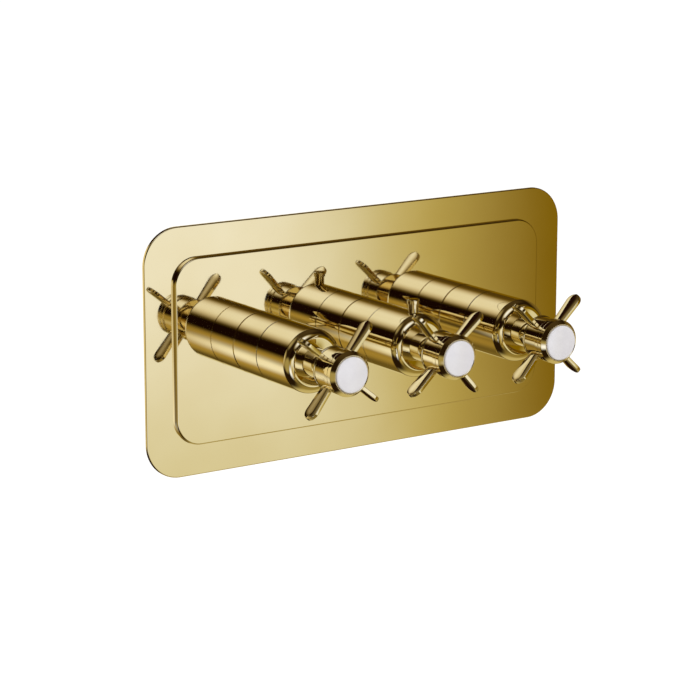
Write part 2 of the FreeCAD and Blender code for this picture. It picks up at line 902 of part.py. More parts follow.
def mounting_bracket():
    bracket = plate_block(bracket_width, bracket_height, bracket_corner, -bracket_sheet, 0)
    for x in controls.values():
        bracket = bracket.cut(rod(x, boss_radius + boss_clear, -bracket_sheet - past, past))
    for x in inlets.values():
        bracket = bracket.cut(rod(x, post_screw_radius + loose_clear, -bracket_sheet - past, past))
    for x in (-wall_hole_width / 2, wall_hole_width / 2):
        for z in (-wall_hole_height / 2, wall_hole_height / 2):
            bracket = bracket.cut(rod(x, wall_hole_radius, -bracket_sheet - past, past, z))
    return bracket


def bracket_screw(x):
    screw = rod(x, post_screw_head, 0, post_screw_head_height)
    screw = screw.fuse(rod(x, post_screw_radius, -bracket_sheet - post_screw_length, 0))
    floor = V(x, -post_screw_head_height / 2, 0)
    key = hexagon(floor, V(0, -1, 0), post_screw_radius * 2, post_screw_head_height)
    return screw.cut(key)


def inlet_strainer(x):
    u = -inlet_depth
    mesh = upright(x, u, water_bore - fit_clear, inlet_floor, strainer_top)
    for number in range(strainer_holes):
        angle = 2 * math.pi * number / strainer_holes
        along = strainer_ring * math.cos(angle)
        across = strainer_ring * math.sin(angle)
        hole = upright(x + along, u + across, strainer_hole, inlet_floor - past, strainer_top + past)
        mesh = mesh.cut(hole)
    return mesh.cut(upright(x, u, strainer_hole, inlet_floor - past, strainer_top + past))


def check_valve(x):
    u = -inlet_depth
    guide = check_top - check_end
    valve = upright(x, u, water_bore - fit_clear, strainer_top, check_top)
    valve = valve.cut(upright(x, u, check_bore, strainer_top + check_end, guide))
    valve = valve.cut(upright(x, u, check_seat_bore, strainer_top - past, strainer_top + check_end + past))
    guide_bore = poppet_stem_radius + poppet_guide_clear
    valve = valve.cut(upright(x, u, guide_bore, guide - past, check_top + past))
    for number in range(check_ports):
        angle = 2 * math.pi * number / check_ports
        along = check_port_ring * math.cos(angle)
        across = check_port_ring * math.sin(angle)
        valve = valve.cut(upright(x + along, u + across, check_port, guide - past, check_top + past))
    return valve


def check_poppet(x):
    u = -inlet_depth
    poppet = upright(x, u, poppet_radius, poppet_bottom, poppet_top)
    poppet = poppet.fuse(upright(x, u, poppet_nose_radius, poppet_bottom - poppet_nose, poppet_bottom))
    return poppet.fuse(upright(x, u, poppet_stem_radius, poppet_top, check_top + poppet_stem_end))


def check_spring(name, x):
    length = check_top - check_end - poppet_top - 2 * fit_clear
    base = V(x, inlet_depth, poppet_top + fit_clear)
    return coil(name, base, V(0, 0, 1), check_coil_radius, check_wire_radius, check_turns, length)


def make_nodes():
    nodes = {
        "cover_plate": cover_plate(),
        "plate_gasket": plate_gasket(),
        "shroud_seals": Part.makeCompound([shroud_seal(x) for x in controls.values()]),
        "guide_rings": Part.makeCompound([guide_ring(x) for x in controls.values()]),
        "valve_body": valve_body(),
        "gallery_plugs": Part.makeCompound([gallery_plug(side) for side in (-1, 1)]),
        "mounting_bracket": mounting_bracket(),
        "bracket_screws": Part.makeCompound([bracket_screw(x) for x in inlets.values()]),
        "gland_nuts": Part.makeCompound([gland_nut(x) for x in controls.values()]),
        "inlet_strainers": Part.makeCompound([inlet_strainer(x) for x in inlets.values()]),
        "check_valves": Part.makeCompound([check_valve(x) for x in inlets.values()]),
    }
    for side, x in controls.items():
        turn = rest_turn[side]
        nodes["base_shroud_" + side] = base_shroud(x)
        nodes["crosshead_hub_" + side] = crosshead_hub(x, turn)
        nodes["spokes_" + side] = spokes(x, turn)
        nodes["index_bezel_" + side] = index_bezel(x)
        nodes["porcelain_disc_" + side] = porcelain_disc(x)
        nodes["handle_screw_" + side] = handle_screw(x)
        nodes["spindle_clip_" + side] = spindle_clip(x)
    rings = [oring(controls["temp"], thermo_pocket_radius - fit_clear, u) for u in thermo_oring_depths]
    rings += [spindle_oring(x) for x in controls.values()]
    for side in flow_sides:
        x = controls[side]
        nodes["control_sleeve_" + side] = control_sleeve(x)
        nodes["handle_stem_" + side] = handle_stem(x)
        nodes["spindle_" + side] = flow_spindle(x)
        nodes["moving_ceramic_" + side] = moving_ceramic(x)
        rings.append(oring(x, pocket_radius - fit_clear, flow_oring_depth))
    nodes["cartridge_orings"] = Part.makeCompound(rings)
    nodes["flow_cartridges"] = Part.makeCompound([flow_cartridge(controls[side]) for side in flow_sides])
    nodes["fixed_ceramics"] = Part.makeCompound([fixed_ceramic(controls[side]) for side in flow_sides])
    nodes["flow_seals"] = Part.makeCompound([flow_seal(controls[side]) for side in flow_sides])
    middle = controls["temp"]
    nodes["control_sleeve_temp"] = temperature_sleeve(middle)
    nodes["handle_stem_temp"] = temperature_stem(middle)
    nodes["thermostat_housing"] = thermostat_housing(middle)
    nodes["spindle_temp"] = temperature_spindle(middle)
    nodes["thermostat_carriage"] = thermostat_carriage(middle)
    nodes["wax_element"] = wax_element(middle)
    nodes["shuttle"] = shuttle(middle)
    nodes["return_spring"] = return_spring(middle)
    nodes["temperature_stop"] = temperature_stop(middle)
    nodes["stop_button"] = stop_button(middle)
    nodes["button_spring"] = button_spring(middle)
    for name, x in inlets.items():
        nodes["check_poppet_" + name] = check_poppet(x)
        nodes["check_spring_" + name] = check_spring("check_spring_" + name, x)
    return nodes


os.makedirs("parts", exist_ok=True)
for name, shape in make_nodes().items():
    solids = shape.Solids
    good = shape.isValid() and all(solid.Volume > 0 for solid in solids)
    print(name, len(solids), round(shape.Volume, 1), "ok" if good else "BROKEN")
    shape.exportStep("parts/" + name + ".step")
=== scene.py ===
import bpy
import json
import math
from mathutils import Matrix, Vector


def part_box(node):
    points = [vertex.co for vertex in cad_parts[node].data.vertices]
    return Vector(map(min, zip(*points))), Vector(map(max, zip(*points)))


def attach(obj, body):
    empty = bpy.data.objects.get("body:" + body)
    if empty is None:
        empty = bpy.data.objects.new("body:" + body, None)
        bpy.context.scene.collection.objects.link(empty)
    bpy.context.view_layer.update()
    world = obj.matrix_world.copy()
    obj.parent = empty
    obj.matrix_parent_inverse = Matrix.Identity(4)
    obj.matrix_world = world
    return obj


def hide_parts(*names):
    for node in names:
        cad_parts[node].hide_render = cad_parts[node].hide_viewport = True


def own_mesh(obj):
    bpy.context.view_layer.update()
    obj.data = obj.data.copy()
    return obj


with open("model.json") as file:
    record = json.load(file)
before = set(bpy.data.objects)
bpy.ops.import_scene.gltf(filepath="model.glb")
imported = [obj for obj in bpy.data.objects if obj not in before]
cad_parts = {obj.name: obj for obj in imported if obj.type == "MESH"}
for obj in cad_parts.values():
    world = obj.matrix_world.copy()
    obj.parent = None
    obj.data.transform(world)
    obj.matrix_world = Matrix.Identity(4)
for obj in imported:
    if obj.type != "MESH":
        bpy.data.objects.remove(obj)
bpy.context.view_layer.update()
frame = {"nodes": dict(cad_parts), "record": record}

mm = 0.001
tiny = 0.001 * mm  # places closer than this count as one
record = frame["record"]
slotOf = {part["node"]: part["material_slot"] for part in record["subparts"]}
bodyOf = {node: body for body, nodes in record["behaviour"]["bodies"].items() for node in nodes}
controls = {"left": -74.2, "temp": 0.0, "right": 74.2}  # mm along the plate
turns = {"left": 6.0, "temp": -4.0, "right": 1.0}  # handles as photographed, degrees
print("frame loaded:", len(frame["nodes"]), "nodes")


def linear(hexColor):
    # an sRGB hex colour as linear light
    parts = [int(hexColor[i:i + 2], 16) / 255 for i in (1, 3, 5)]
    return tuple(c / 12.92 if c <= 0.04045 else ((c + 0.055) / 1.055) ** 2.4 for c in parts) + (1.0,)


def addNode(tree, kind, inputs=None, **settings):
    node = tree.nodes.new(kind)
    for name, value in settings.items():
        setattr(node, name, value)
    for socket, value in (inputs or {}).items():
        if isinstance(value, bpy.types.NodeSocket):
            tree.links.new(value, node.inputs[socket])
        else:
            node.inputs[socket].default_value = value
    return node


def newMaterial(name):
    material = bpy.data.materials.new(name)
    material.use_nodes = True
    tree = material.node_tree
    tree.nodes.clear()
    shader = addNode(tree, "ShaderNodeBsdfPrincipled")
    addNode(tree, "ShaderNodeOutputMaterial", {"Surface": shader.outputs["BSDF"]})
    place = addNode(tree, "ShaderNodeTexCoord").outputs["Object"]
    return material, tree, shader, place


noiseSpan = {"From Min": 0.3, "From Max": 0.7}  # most values of a noise lie between these
colorA, colorB, mixedColor = 6, 7, 2  # the sockets of a Mix node that mixes colours


def noiseAt(tree, place, sizeMm, detail=2.0, stretch=None):
    # one noise cell is about sizeMm across, or longer along a stretched axis
    if stretch:
        place = addNode(tree, "ShaderNodeMapping", {"Vector": place, "Scale": stretch}).outputs["Vector"]
    noise = addNode(tree, "ShaderNodeTexNoise", {"Vector": place, "Scale": 1 / (sizeMm * mm),
                                                 "Detail": detail})
    return noise.outputs["Fac"]


def toneBetween(tree, shader, fac, lightHex, deepHex):
    fac = addNode(tree, "ShaderNodeMapRange", {"Value": fac, **noiseSpan}).outputs["Result"]
    tone = addNode(tree, "ShaderNodeMix", {0: fac, colorA: linear(lightHex), colorB: linear(deepHex)},
                   data_type="RGBA")
    tree.links.new(tone.outputs[mixedColor], shader.inputs["Base Color"])


def roughBetween(tree, shader, fac, low, high):
    rough = addNode(tree, "ShaderNodeMapRange", {"Value": fac, **noiseSpan, "To Min": low, "To Max": high})
    tree.links.new(rough.outputs["Result"], shader.inputs["Roughness"])


def bumpFrom(tree, shader, fac, heightMm):
    bump = addNode(tree, "ShaderNodeBump", {"Height": fac, "Strength": 1.0, "Distance": heightMm * mm})
    tree.links.new(bump.outputs["Normal"], shader.inputs["Normal"])


# Finishes: each gives the colours, the cell size of its marks in mm, and how rough and how deep they are
finishes = {
    # plated and lacquered brass, a mirror with a breath of buffing haze
    "polished_gold": {"light": "#eee2bc", "deep": "#eadcb2", "cloudMm": 45, "hazeMm": 4,
                      "rough": (0.02, 0.045), "peelMm": 7, "peel": 0.0006, "coat": 0.35, "coatRough": 0.02},
    # fired white glaze, milky and wet-looking, with a slow ripple
    "porcelain": {"light": "#ebe9ed", "deep": "#e5e3e8", "cloudMm": 6, "rough": (0.05, 0.09),
                  "rippleMm": 5, "ripple": 0.004, "coat": 0.6, "coatRough": 0.03},
    # sand-cast skin, dull and grainy
    "cast_brass": {"light": "#d8be8b", "deep": "#c2a468", "cloudMm": 10.8, "grainMm": 0.9,
                   "rough": (0.38, 0.58), "grain": 0.12},
    # turned on a lathe, satin with fine feed lines along the axis
    "machined_brass": {"light": "#e0cb99", "deep": "#d5bc82", "cloudMm": 8, "feedMm": 0.35,
                       "stretch": (0.05, 1.0, 0.05), "rough": (0.18, 0.32), "feed": 0.008},
    # rolled sheet and screws, brushed along the plate
    "stainless_steel": {"light": "#d0d0d1", "deep": "#c4c4c6", "cloudMm": 12, "lineMm": 0.3,
                        "stretch": (0.02, 1.0, 1.0), "rough": (0.22, 0.4), "line": 0.006},
    # drawn wire, darker, with faint die marks
    "spring_steel": {"light": "#bfc0c3", "deep": "#b2b4b8", "cloudMm": 12, "lineMm": 0.25,
                     "stretch": (1.0, 1.0, 1.0), "rough": (0.2, 0.34), "line": 0.004},
    # copper sleeve of the wax element, a little tarnished
    "copper": {"light": "#dcb092", "deep": "#c6916f", "tarnishMm": 5, "rough": (0.22, 0.42)},
    # lapped alumina, chalk white with a fine speckle
    "technical_ceramic": {"light": "#f8f6f2", "deep": "#efece4", "speckMm": 0.5, "rough": (0.28, 0.42)},
    # natural nylon, waxy and slightly mottled from moulding
    "nylon": {"light": "#eae8e2", "deep": "#e2dfd6", "mottleMm": 4, "rough": (0.4, 0.55),
              "skinMm": 0.4, "skin": 0.01},
    # graphite-black acetal of the guide rings, smooth and low in shine; the near-black is also painted shade for
    # the narrow seams at the rings
    "black_acetal": {"light": "#48484b", "deep": "#3e3e41", "mottleMm": 3, "rough": (0.35, 0.5),
                     "skinMm": 0.4, "skin": 0.008},
    # nitrile rubber, near black with a dusty bloom
    "rubber": {"light": "#403f3f", "deep": "#343434", "mottleMm": 3, "rough": (0.6, 0.8),
               "skinMm": 0.3, "skin": 0.02},
}


def polishedGold():
    look = finishes["polished_gold"]
    material, tree, shader, place = newMaterial("polishedGold")
    shader.inputs["Metallic"].default_value = 1.0
    shader.inputs["Coat Weight"].default_value = look["coat"]
    shader.inputs["Coat Roughness"].default_value = look["coatRough"]
    toneBetween(tree, shader, noiseAt(tree, place, look["cloudMm"]), look["light"], look["deep"])
    roughBetween(tree, shader, noiseAt(tree, place, look["hazeMm"], detail=4.0), *look["rough"])
    bumpFrom(tree, shader, noiseAt(tree, place, look["peelMm"], detail=1.0), look["peel"])
    return material


def glazedPorcelain():
    look = finishes["porcelain"]
    material, tree, shader, place = newMaterial("glazedPorcelain")
    shader.inputs["Coat Weight"].default_value = look["coat"]
    shader.inputs["Coat Roughness"].default_value = look["coatRough"]
    toneBetween(tree, shader, noiseAt(tree, place, look["cloudMm"]), look["light"], look["deep"])
    roughBetween(tree, shader, noiseAt(tree, place, look["cloudMm"], detail=3.0), *look["rough"])
    bumpFrom(tree, shader, noiseAt(tree, place, look["rippleMm"], detail=1.0), look["ripple"])
    return material


def castBrass():
    look = finishes["cast_brass"]
    material, tree, shader, place = newMaterial("castBrass")
    shader.inputs["Metallic"].default_value = 1.0
    toneBetween(tree, shader, noiseAt(tree, place, look["cloudMm"], detail=4.0), look["light"], look["deep"])
    grain = noiseAt(tree, place, look["grainMm"], detail=5.0)
    roughBetween(tree, shader, grain, *look["rough"])
    bumpFrom(tree, shader, grain, look["grain"])
    return material


def machinedBrass():
    look = finishes["machined_brass"]
    material, tree, shader, place = newMaterial("machinedBrass")
    shader.inputs["Metallic"].default_value = 1.0
    toneBetween(tree, shader, noiseAt(tree, place, look["cloudMm"], detail=3.0), look["light"], look["deep"])
    feed = noiseAt(tree, place, look["feedMm"], stretch=look["stretch"])
    roughBetween(tree, shader, feed, *look["rough"])
    bumpFrom(tree, shader, feed, look["feed"])
    return material


def brushedSteel(slot, name):
    look = finishes[slot]
    material, tree, shader, place = newMaterial(name)
    shader.inputs["Metallic"].default_value = 1.0
    toneBetween(tree, shader, noiseAt(tree, place, look["cloudMm"], detail=3.0), look["light"], look["deep"])
    lines = noiseAt(tree, place, look["lineMm"], detail=3.0, stretch=look["stretch"])
    roughBetween(tree, shader, lines, *look["rough"])
    bumpFrom(tree, shader, lines, look["line"])
    return material


def tarnishedCopper():
    look = finishes["copper"]
    material, tree, shader, place = newMaterial("tarnishedCopper")
    shader.inputs["Metallic"].default_value = 1.0
    tarnish = noiseAt(tree, place, look["tarnishMm"], detail=5.0)
    toneBetween(tree, shader, tarnish, look["light"], look["deep"])
    roughBetween(tree, shader, tarnish, *look["rough"])
    return material


def lappedCeramic():
    look = finishes["technical_ceramic"]
    material, tree, shader, place = newMaterial("lappedCeramic")
    specks = noiseAt(tree, place, look["speckMm"], detail=4.0)
    toneBetween(tree, shader, specks, look["light"], look["deep"])
    roughBetween(tree, shader, specks, *look["rough"])
    return material


def mouldedSkin(slot, name):
    look = finishes[slot]
    material, tree, shader, place = newMaterial(name)
    toneBetween(tree, shader, noiseAt(tree, place, look["mottleMm"], detail=3.0), look["light"], look["deep"])
    roughBetween(tree, shader, noiseAt(tree, place, look["mottleMm"] / 2, detail=3.0), *look["rough"])
    bumpFrom(tree, shader, noiseAt(tree, place, look["skinMm"]), look["skin"])
    return material


materials = {
    "polished_gold": polishedGold(), "porcelain": glazedPorcelain(), "cast_brass": castBrass(),
    "machined_brass": machinedBrass(), "copper": tarnishedCopper(), "technical_ceramic": lappedCeramic(),
    "stainless_steel": brushedSteel("stainless_steel", "brushedStainless"),
    "spring_steel": brushedSteel("spring_steel", "drawnSpringWire"),
    "nylon": mouldedSkin("nylon", "naturalNylon"),
    "black_acetal": mouldedSkin("black_acetal", "blackAcetalAndSeamShade"),
    "rubber": mouldedSkin("rubber", "nitrileRubber"),
}
for node, shape in frame["nodes"].items():
    shape.data.materials.clear()
    shape.data.materials.append(materials[slotOf[node]])
print("materials set:", len(materials))


def deselect():
    if bpy.context.mode != "OBJECT":
        bpy.ops.object.mode_set(mode="OBJECT")
    bpy.ops.object.select_all(action="DESELECT")


def makeActive(piece):
    deselect()
    piece.select_set(True)
    bpy.context.view_layer.objects.active = piece


def pickEdges(piece, wanted):
    makeActive(piece)
    bpy.ops.object.mode_set(mode="EDIT")
    bpy.ops.mesh.select_mode(type="EDGE")
    bpy.ops.mesh.select_all(action="DESELECT")
    bpy.ops.object.mode_set(mode="OBJECT")
    points = piece.data.vertices
    for edge in piece.data.edges:
        edge.select = wanted(points[edge.vertices[0]].co, points[edge.vertices[1]].co)
    bpy.ops.object.mode_set(mode="EDIT")


def applyModifier(piece, kind, **settings):
    makeActive(piece)
    bpy.ops.object.modifier_add(type=kind)
    modifier = piece.modifiers[-1]
    for name, value in settings.items():
        setattr(modifier, name, value)
    bpy.ops.object.modifier_apply(modifier=modifier.name)


def closeSkin():
    # ends an edit: doubles merged, faces turned outward
    bpy.ops.mesh.select_all(action="SELECT")
    bpy.ops.mesh.remove_doubles(threshold=2 * tiny)
    bpy.ops.mesh.normals_make_consistent(inside=False)
    bpy.ops.object.mode_set(mode="OBJECT")


def polish(piece, roundMm=0.0, angle=35):
    # breaks the sharp edges, then keeps the broad faces truly flat in the shading
    if roundMm:
        applyModifier(piece, "BEVEL", width=roundMm * mm, segments=3, limit_method="ANGLE",
                      angle_limit=math.radians(angle))
        bpy.ops.object.mode_set(mode="EDIT")
        closeSkin()
    makeActive(piece)
    bpy.ops.object.shade_smooth_by_angle(angle=math.radians(angle))
    applyModifier(piece, "WEIGHTED_NORMAL", keep_sharp=True)


def cutWith(piece, cutter, operation="DIFFERENCE"):
    applyModifier(piece, "BOOLEAN", operation=operation, object=cutter, solver="EXACT")
    bpy.data.objects.remove(cutter)


def applyPlace(piece):
    makeActive(piece)
    bpy.ops.object.transform_apply(location=True, rotation=True, scale=True)


def arc(center, radius, start, end, steps=8):
    # points of an outline along a circle: 0 degrees points outward, 90 along the axis
    angles = [math.radians(start + (end - start) * i / steps) for i in range(steps + 1)]
    return [(center[0] + radius * math.cos(a), center[1] + radius * math.sin(a)) for a in angles]


def drawOutline(name, places, closed):
    # places in mm, joined one after another from a single point
    deselect()
    bpy.ops.mesh.primitive_plane_add(size=mm, location=[c * mm for c in places[0]])
    piece = bpy.context.object
    piece.name = name
    bpy.ops.object.mode_set(mode="EDIT")
    bpy.ops.mesh.select_mode(type="VERT")
    bpy.ops.mesh.select_all(action="SELECT")
    bpy.ops.mesh.merge(type="CENTER")
    last = places[0]
    for place in places[1:] + (places[:1] if closed else []):
        step = [(place[i] - last[i]) * mm for i in range(3)]
        bpy.ops.mesh.extrude_vertices_move(TRANSFORM_OT_translate={"value": step})
        last = place
    bpy.ops.mesh.select_all(action="SELECT")
    bpy.ops.mesh.remove_doubles(threshold=tiny)
    return piece


def lathe(name, outline, sides=128, upright=None):
    # an outline of (radius, depth) in mm spun about the control's axis,
    # or about a standing axis at the depth that upright gives
    if upright is None:
        places = [(radius, -depth, 0) for radius, depth in outline]
        center, axis = (0, 0, 0), (0, 1, 0)
    else:
        places = [(radius, -upright, height) for radius, height in outline]
        center, axis = (0, -upright * mm, 0), (0, 0, 1)
    piece = drawOutline(name, places, outline[0][0] > 0)  # one that starts off the axis closes on itself
    bpy.ops.mesh.spin(steps=sides, angle=2 * math.pi, center=center, axis=axis)
    closeSkin()
    applyPlace(piece)
    return piece


def copyAt(master, name, x=0.0, turn=0.0):
    piece = master.copy()
    piece.data = master.data.copy()
    piece.name = name
    bpy.context.collection.objects.link(piece)
    piece.location = (x * mm, 0, 0)
    piece.rotation_euler = (0, -math.radians(turn), 0)
    applyPlace(piece)
    return piece


def standFor(piece, node):
    piece.data.name = piece.name
    piece.data.materials.clear()
    piece.data.materials.append(materials[slotOf[node]])
    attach(piece, bodyOf[node])
    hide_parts(node)


def onEachControl(master, name, node, roundMm, before=None):
    # three copies of a turned piece, one on each control
    for side, x in controls.items():
        piece = copyAt(master, name + "." + side, x)
        if before:
            before(piece, side, x)
        polish(piece, roundMm)
        standFor(piece, node + "_" + side)
    bpy.data.objects.remove(master)


# Cover plate: a rounded sheet with a raised panel, hollow behind
coverPlate = {"width": 300.0, "height": 149.0, "corner": 22.0, "sheet": 2.0, "edge": 0.6,
              "panelWidth": 262.4, "panelHeight": 111.4, "panelCorner": 16.0, "panelBack": 0.5, "front": 5.0,
              "panelEdge": 0.8, "lean": 0.45, "hollow": 3.0, "bossHole": 16.5, "cutPast": 1.0,
              "drillLength": 20.0, "cornerSteps": 24, "edgeSteps": 6, "holeSides": 96}


def roundedSlab(name, width, height, corner, back, front, edge, lean=0.0):
    deselect()
    bpy.ops.mesh.primitive_cube_add(size=1, location=(0, -(back + front) / 2 * mm, 0),
                                    scale=(width * mm, (front - back) * mm, height * mm))
    slab = bpy.context.object
    slab.name = name
    applyPlace(slab)
    pickEdges(slab, lambda a, b: abs(a.y - b.y) > tiny)  # the four corner edges
    bpy.ops.mesh.bevel(offset=corner * mm, offset_type="OFFSET", segments=coverPlate["cornerSteps"],
                       affect="EDGES")
    if lean:
        pickEdges(slab, lambda a, b: min(a.y, b.y) > -back * mm - tiny)  # the foot, wider as on pressed sheet
        bpy.ops.transform.resize(value=(1 + 2 * lean / width, 1, 1 + 2 * lean / height),
                                 center_override=(0, -back * mm, 0))
    if edge:
        pickEdges(slab, lambda a, b: max(a.y, b.y) < -front * mm + tiny)  # all round the front
        bpy.ops.mesh.bevel(offset=edge * mm, offset_type="OFFSET", segments=coverPlate["edgeSteps"],
                           affect="EDGES")
    bpy.ops.object.mode_set(mode="OBJECT")
    return slab


def makeCoverPlate():
    p = coverPlate
    plate = roundedSlab("coverPlate", p["width"], p["height"], p["corner"], 0, p["sheet"], p["edge"])
    panel = roundedSlab("panel", p["panelWidth"], p["panelHeight"], p["panelCorner"], p["panelBack"], p["front"],
                        p["panelEdge"], p["lean"])
    cutWith(plate, panel, "UNION")
    wall = 2 * p["sheet"]
    hollow = roundedSlab("hollow", p["panelWidth"] - wall, p["panelHeight"] - wall,
                         p["panelCorner"] - p["sheet"], -p["cutPast"], p["hollow"], 0)
    cutWith(plate, hollow)
    for x in controls.values():
        deselect()
        bpy.ops.mesh.primitive_cylinder_add(vertices=p["holeSides"], radius=p["bossHole"] * mm,
                                            depth=p["drillLength"] * mm, location=(x * mm, 0, 0),
                                            rotation=(math.pi / 2, 0, 0))
        cutWith(plate, bpy.context.object)
    polish(plate)
    standFor(plate, "cover_plate")


makeCoverPlate()
print("cover plate made")

# Barrels: a fixed shroud against the plate and a sleeve that turns with its handle, a fine seam between
baseShroud = {"radius": 19.0, "bore": 17.4, "collarBore": 16.05, "back": 5.0, "collar": 11.0, "front": 30.5,
              "sealRadius": 18.0, "sealDepth": 1.0, "foot": 0.8, "round": 0.4}
controlSleeve = {"radius": 19.0, "bore": 17.4, "back": 31.0, "front": 65.0, "shoulder": 5.2, "dish": 0.8,
                 "face": 2.0, "hole": 8.45, "chamfer": 1.1, "round": 0.4, "buttonDepth": 55.8,
                 "buttonHole": 3.18, "drillLength": 20.0, "shoulderSteps": 14, "holeSides": 48}


def makeBaseShrouds():
    p = baseShroud
    sealFront = p["back"] + p["sealDepth"]
    shroud = lathe("baseShroud", [
        (p["sealRadius"], p["back"]), *arc((p["radius"] - p["foot"], p["back"] + p["foot"]), p["foot"], -90, 0),
        (p["radius"], p["front"]), (p["bore"], p["front"]),
        (p["bore"], p["collar"]), (p["collarBore"], p["collar"]), (p["collarBore"], sealFront),
        (p["sealRadius"], sealFront)])
    onEachControl(shroud, "baseShroud", "base_shroud", p["round"])


def drillForButton(piece, side, x):
    if side != "temp":
        return
    p = controlSleeve
    deselect()
    bpy.ops.mesh.primitive_cylinder_add(vertices=p["holeSides"], radius=p["buttonHole"] * mm,
                                        depth=p["drillLength"] * mm,
                                        location=(x * mm, -p["buttonDepth"] * mm, p["radius"] * mm))
    cutWith(piece, bpy.context.object)


def makeControlSleeves():
    p = controlSleeve
    shoulder = p["front"] - p["shoulder"]
    inner = p["front"] - p["dish"] - p["face"]
    sleeve = lathe("controlSleeve", [
        (p["bore"], p["back"]), (p["radius"], p["back"]),
        *arc((p["radius"] - p["shoulder"], shoulder), p["shoulder"], 0, 90, p["shoulderSteps"]),
        (p["hole"], p["front"] - p["dish"]), (p["hole"], inner), (p["bore"] - p["chamfer"], inner),
        (p["bore"], inner - p["chamfer"])])
    onEachControl(sleeve, "controlSleeve", "control_sleeve", p["round"], drillForButton)


makeBaseShrouds()
makeControlSleeves()
print("barrels made")

# Handle heads: a round hub with a fine rim and a broad ring, a bezel and a crowned porcelain disc
handleHub = {"radius": 12.5, "bore": 5.0, "back": 82.0, "front": 96.5, "step": 0.6, "rimRound": 0.5,
             "ring": 3.2, "ringRound": 0.4, "cavity": 9.0, "web": 91.0, "round": 0.12}
indexBezel = {"radius": 13.2, "back": 96.5, "backRound": 0.6, "cone": 99.8, "lip": 11.2, "lipTop": 102.3,
              "discRadius": 10.3, "discEdge": 101.6, "discSeat": 98.8, "spigot": 9.0, "spigotBore": 7.5,
              "spigotBack": 94.0, "round": 0.2}
porcelainDisc = {"radius": 10.3, "seat": 98.8, "edge": 103.0, "crown": 0.4, "round": 0.6, "crownSteps": 10}


def makeHubs():
    p = handleHub
    proud = p["radius"] + p["step"]
    rimEdge = proud - p["rimRound"]
    rimFront = p["back"] + 2 * p["rimRound"]
    ringBack = p["front"] - p["ring"]
    ringEdge = (proud - p["ringRound"], ringBack + p["ringRound"])
    hub = lathe("handleHub", [
        (p["bore"], p["back"]), *arc((rimEdge, p["back"] + p["rimRound"]), p["rimRound"], -90, 90),
        (p["radius"], rimFront + rimEdge - p["radius"]), (p["radius"], ringBack),
        *arc(ringEdge, p["ringRound"], -90, 0), (proud, p["front"]),
        (p["cavity"], p["front"]), (p["cavity"], p["web"]), (p["bore"], p["web"])])
    onEachControl(hub, "handleHub", "crosshead_hub", p["round"])


def makeBezels():
    p = indexBezel
    bezel = lathe("indexBezel", [
        (p["spigotBore"], p["spigotBack"]), (p["spigot"], p["spigotBack"]), (p["spigot"], p["back"]),
        *arc((p["radius"] - p["backRound"], p["back"] + p["backRound"]), p["backRound"], -90, 0),
        (p["radius"], p["cone"]), (p["lip"], p["lipTop"]), (p["discRadius"], p["discEdge"]),
        (p["discRadius"], p["discSeat"]), (p["spigotBore"], p["discSeat"])])
    onEachControl(bezel, "indexBezel", "index_bezel", p["round"])


def makeDiscs():
    p = porcelainDisc
    top = p["edge"] + p["crown"]
    sphere = (p["radius"] ** 2 + p["crown"] ** 2) / (2 * p["crown"])
    lean = math.degrees(math.acos(p["radius"] / sphere))
    crown = arc((0, top - sphere), sphere, lean, 90, p["crownSteps"])[:-1] + [(0, top)]
    disc = lathe("porcelainDisc", [(0, p["seat"]), (p["radius"], p["seat"])] + crown)
    onEachControl(disc, "porcelainDisc", "porcelain_disc", p["round"])


makeHubs()
makeBezels()
makeDiscs()
print("handle heads made")

# Spokes: flat paddles, deep along the axis, crowned on both flanks, widening to a round end
spoke = {"root": 9.5, "reach": 33.1, "plane": 88.5, "rootHalf": 4.0, "tipHalf": 5.2, "rimHalf": 0.85,
         "edgeRound": 0.3, "crown": 0.45, "thinning": 4, "angles": (45, 135, 225, 315),
         "edgeSteps": 3, "crownSteps": 6, "straightSteps": 6,
         "endAngles": (10, 20, 30, 40, 50, 60, 68, 75, 81, 86, 89)}


def paddleSection():
    # the section at the root: depth across and height over the middle plane, once round
    p = spoke
    inside = p["rootHalf"] - p["edgeRound"]
    top = p["rimHalf"] + p["edgeRound"]
    corner = arc((inside, p["rimHalf"]), p["edgeRound"], 0, 90, p["edgeSteps"])
    shares = [step / p["crownSteps"] for step in range(p["crownSteps"] - 1, -1, -1)]
    quarter = corner + [(inside * share, top + p["crown"] * (1 - share ** 2)) for share in shares]
    half = quarter + [(-across, height) for across, height in quarter[-2::-1]]
    return half + [(across, -height) for across, height in half[::-1]]


def paddleStations():
    # distance out, half depth and share of the full thickness, from the root to the round end
    p = spoke
    full = p["rimHalf"] + p["edgeRound"] + p["crown"]
    middle = p["reach"] - p["tipHalf"]
    stations = []
    for step in range(1, p["straightSteps"] + 1):
        share = step / p["straightSteps"]
        stations.append((p["root"] + (middle - p["root"]) * share,
                         p["rootHalf"] + (p["tipHalf"] - p["rootHalf"]) * share, 1.0))
    for angle in p["endAngles"]:
        out, across = math.sin(math.radians(angle)), math.cos(math.radians(angle))
        stations.append((middle + p["tipHalf"] * out, p["tipHalf"] * across,
                         1 - p["crown"] / full * out ** p["thinning"]))
    return stations


def makePaddle():
    p = spoke
    section = [(p["root"], across - p["plane"], height) for across, height in paddleSection()]
    paddle = drawOutline("paddle", section, True)
    bpy.ops.mesh.edge_face_add()
    out, half, thick = p["root"], p["rootHalf"], 1.0
    for nextOut, nextHalf, nextThick in paddleStations():
        bpy.ops.mesh.extrude_region_move(TRANSFORM_OT_translate={"value": ((nextOut - out) * mm, 0, 0)})
        bpy.ops.transform.resize(value=(1, nextHalf / half, nextThick / thick),
                                 center_override=(nextOut * mm, -p["plane"] * mm, 0))
        out, half, thick = nextOut, nextHalf, nextThick
    closeSkin()
    applyPlace(paddle)
    return paddle


